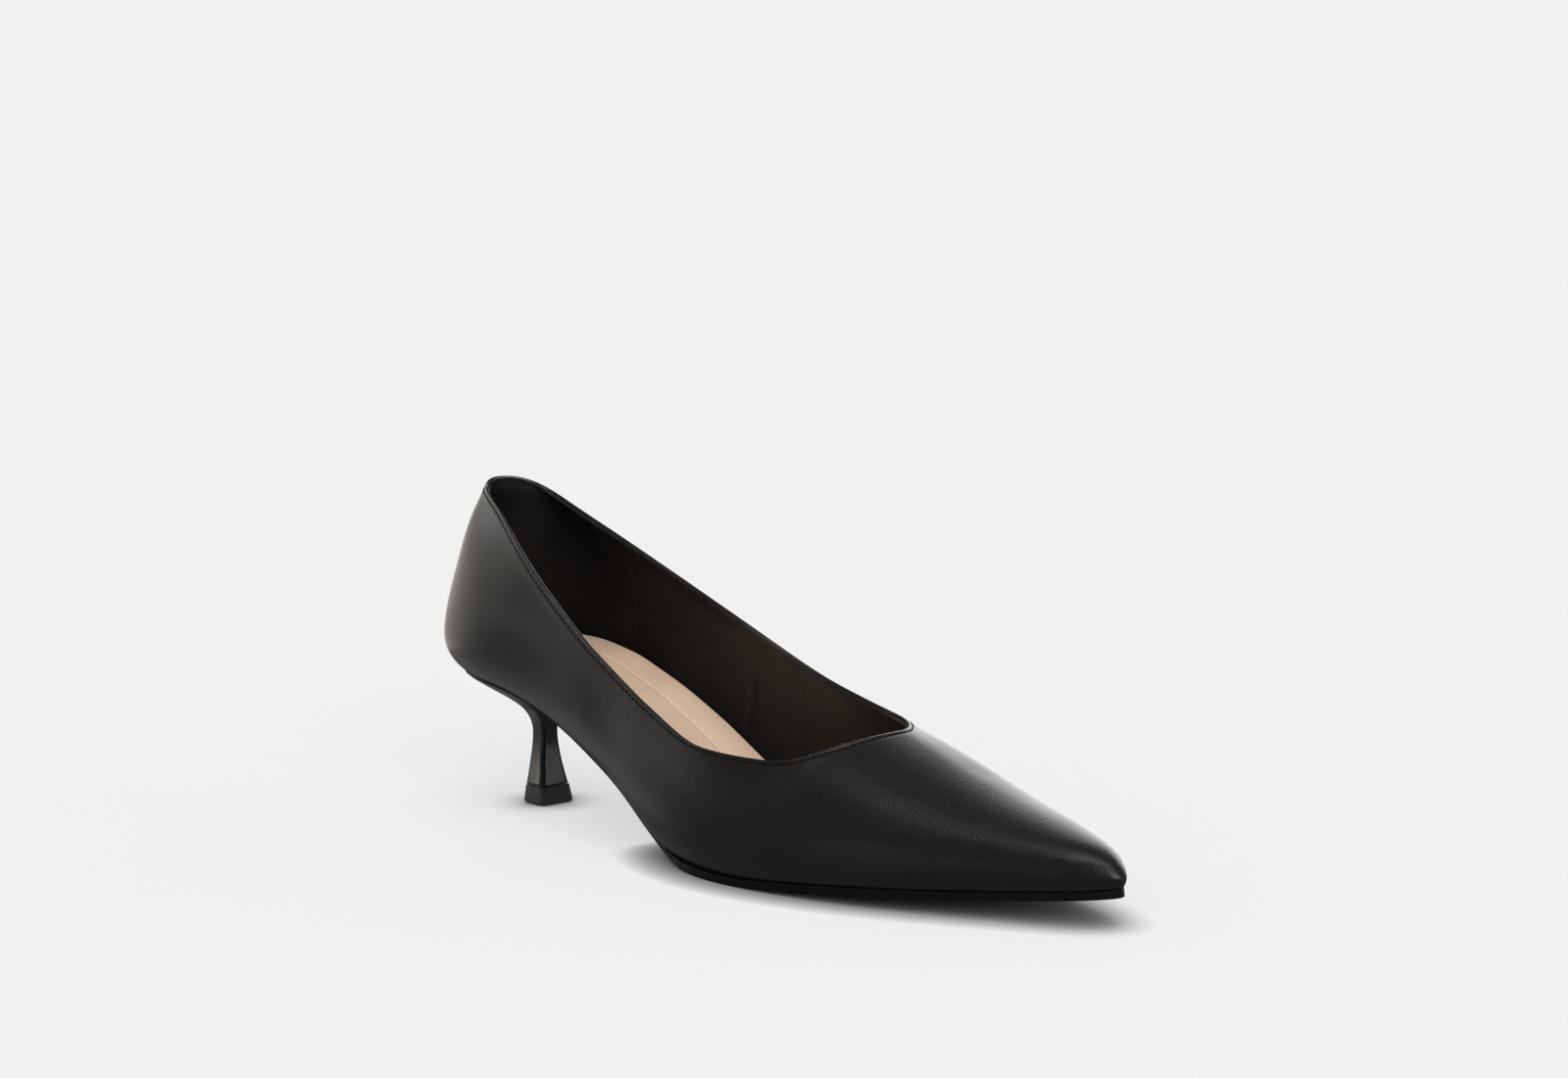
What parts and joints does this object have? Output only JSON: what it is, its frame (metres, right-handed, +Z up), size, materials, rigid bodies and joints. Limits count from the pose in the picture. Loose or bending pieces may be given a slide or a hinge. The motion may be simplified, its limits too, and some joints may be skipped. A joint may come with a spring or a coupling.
{
  "type": "pointed toe pump",
  "caption": "Right pump with a pointed toe, a low cut collar and a slender flared kitten heel: hollow leather upper, padded insole, thin outsole, moulded heel and rubber tip.",
  "frame": {"origin": "on the floor under the middle of the shoe's bounding box", "axes": "+X towards the toe, +Y towards the inner side of the foot, +Z up from the floor the shoe stands on"},
  "size_m": [0.266, 0.0756, 0.0986],
  "materials": {
    "upper": "smooth black leather with a soft sheen and a fine grain",
    "insole": "matte tan sock",
    "outsole": "matte black with a slightly shiny edge",
    "heel": "glossy black",
    "heel_tip": "matte black"
  },
  "bodies": {
    "root": {"upper": "upper", "insole": "insole", "outsole": "outsole", "heel": "heel", "heel_tip": "heel_tip"}
  },
  "joints": []
}
